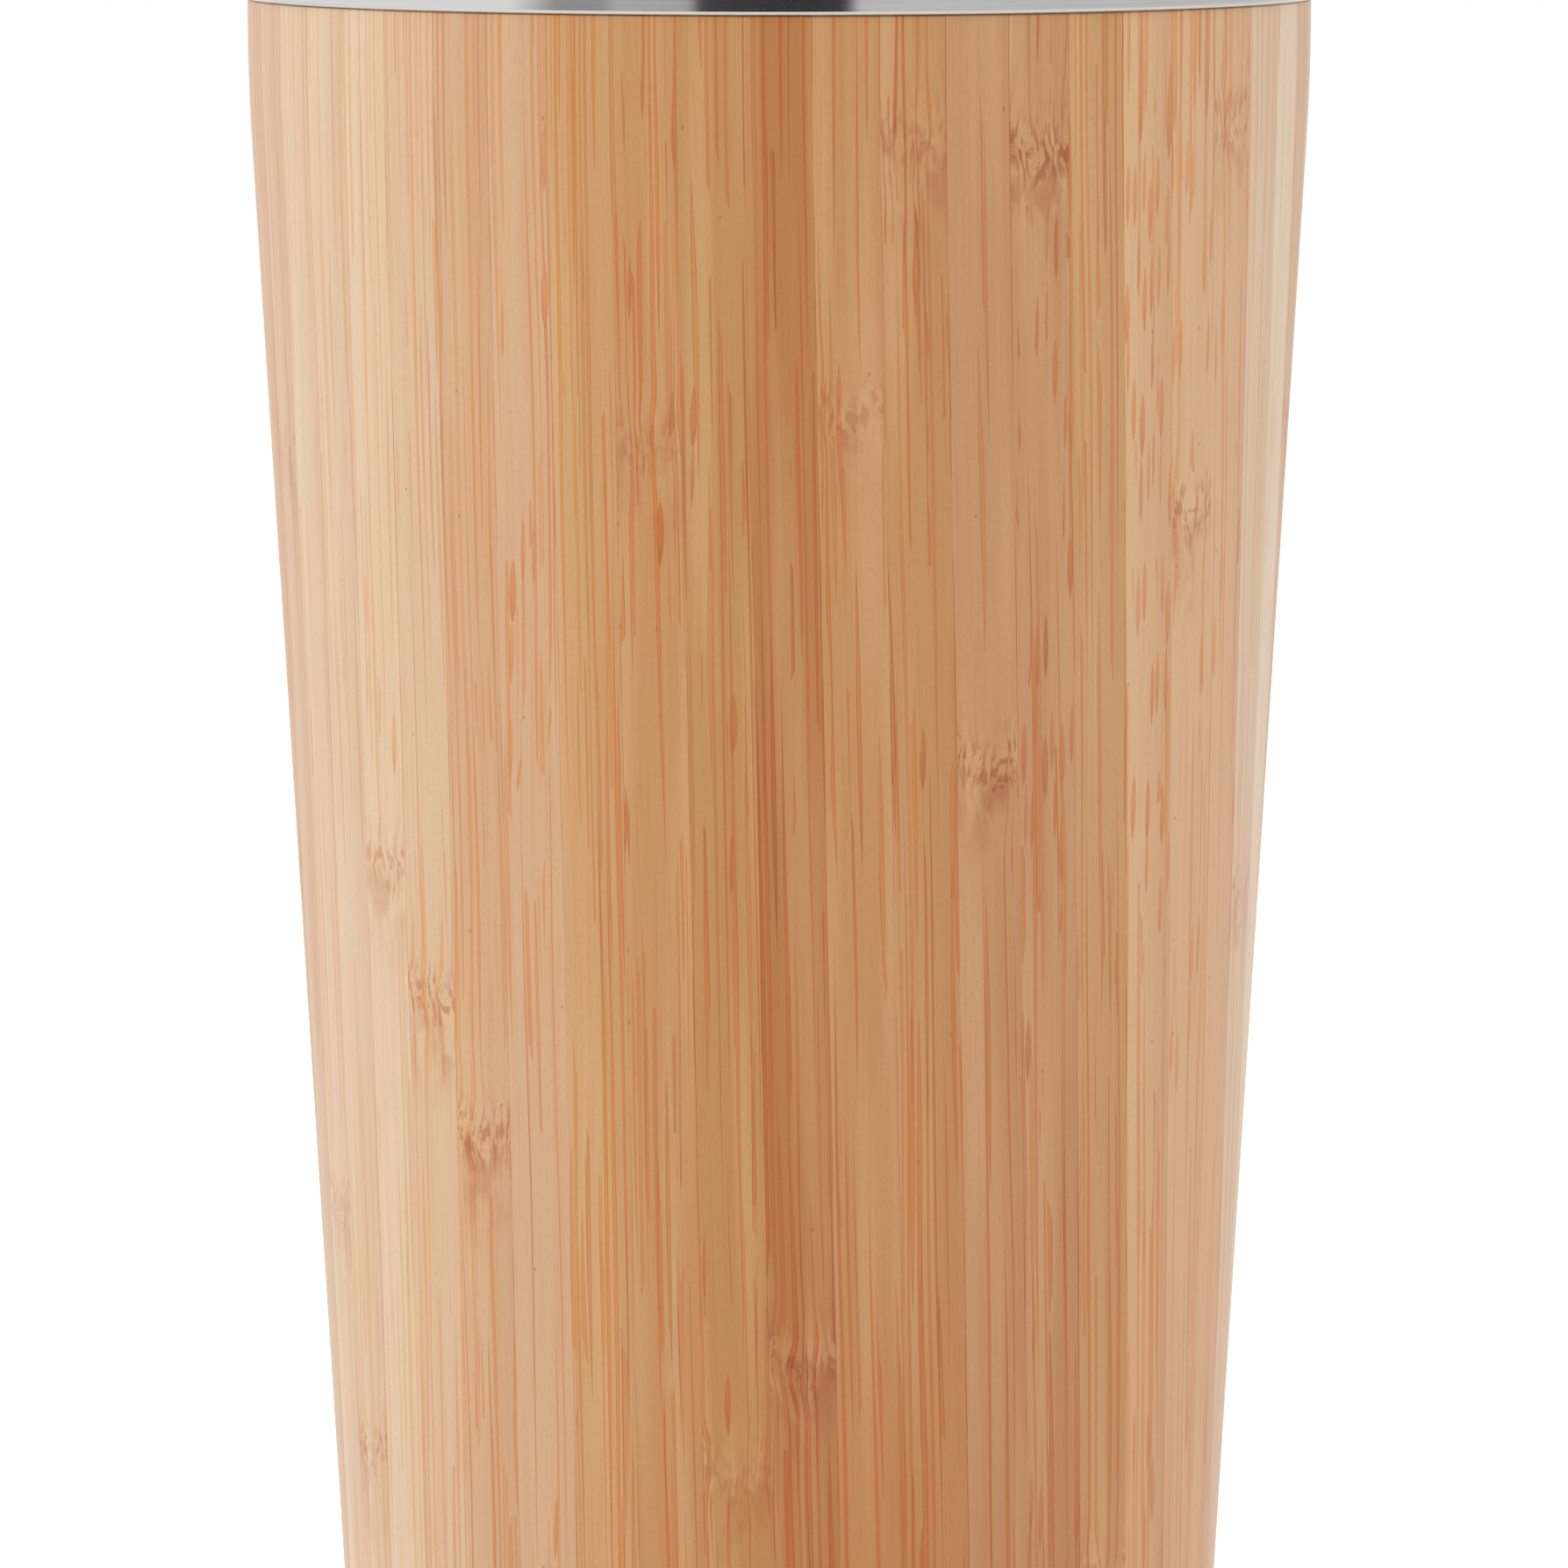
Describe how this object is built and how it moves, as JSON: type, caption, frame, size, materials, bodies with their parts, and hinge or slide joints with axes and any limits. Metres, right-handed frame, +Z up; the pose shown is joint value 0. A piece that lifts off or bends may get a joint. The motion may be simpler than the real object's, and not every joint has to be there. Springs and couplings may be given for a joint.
{
  "type": "bamboo tumbler cup",
  "caption": "Tapered vacuum tumbler of drawn steel in a laminated bamboo sleeve, with a bare steel rim and base and a push-in slide lid.",
  "frame": {"origin": "centre of the foot pad's underside, which rests on the table", "axes": "+Z up along the cup's axis; the drink hole faces -Y; +X is to the right as the picture sees it"},
  "size_m": [0.0874, 0.0874, 0.1746],
  "materials": {
    "bamboo": "laminated edge-grain bamboo strips under a satin lacquer",
    "band_steel": "fine satin brushing round the band",
    "inner_steel": "polished lip, satin inside",
    "base_steel": "fine satin brushing round the foot",
    "seal_glass": "dark sealing glass",
    "getter_metal": "dull sintered metal",
    "foot_silicone": "matt dark silicone",
    "lid_plastic": "fine moulded grain",
    "slider_plastic": "fine moulded grain, smoother on the thumb ridge",
    "seal_silicone": "translucent grey silicone"
  },
  "bodies": {
    "cup": {"inner_cup": "inner_steel", "outer_shell": "band_steel", "base_disc": "base_steel", "vacuum_seal": "seal_glass", "getter": "getter_metal", "bamboo_sleeve": "bamboo", "base_cap": "base_steel", "foot_pad": "foot_silicone"},
    "lid": {"lid_body": "lid_plastic", "lid_seal": "seal_silicone"},
    "closure": {"slider": "slider_plastic", "slider_seal": "seal_silicone", "slider_clip": "lid_plastic"}
  },
  "joints": [
    {"name": "lid_lift", "type": "slide", "parent": "cup", "child": "lid", "axis": [0, 0, 1], "range_m": [0, 0.03]},
    {"name": "closure_slide", "type": "slide", "parent": "lid", "child": "closure", "axis": [0, 1, 0], "range_m": [-0.012, 0]}
  ]
}
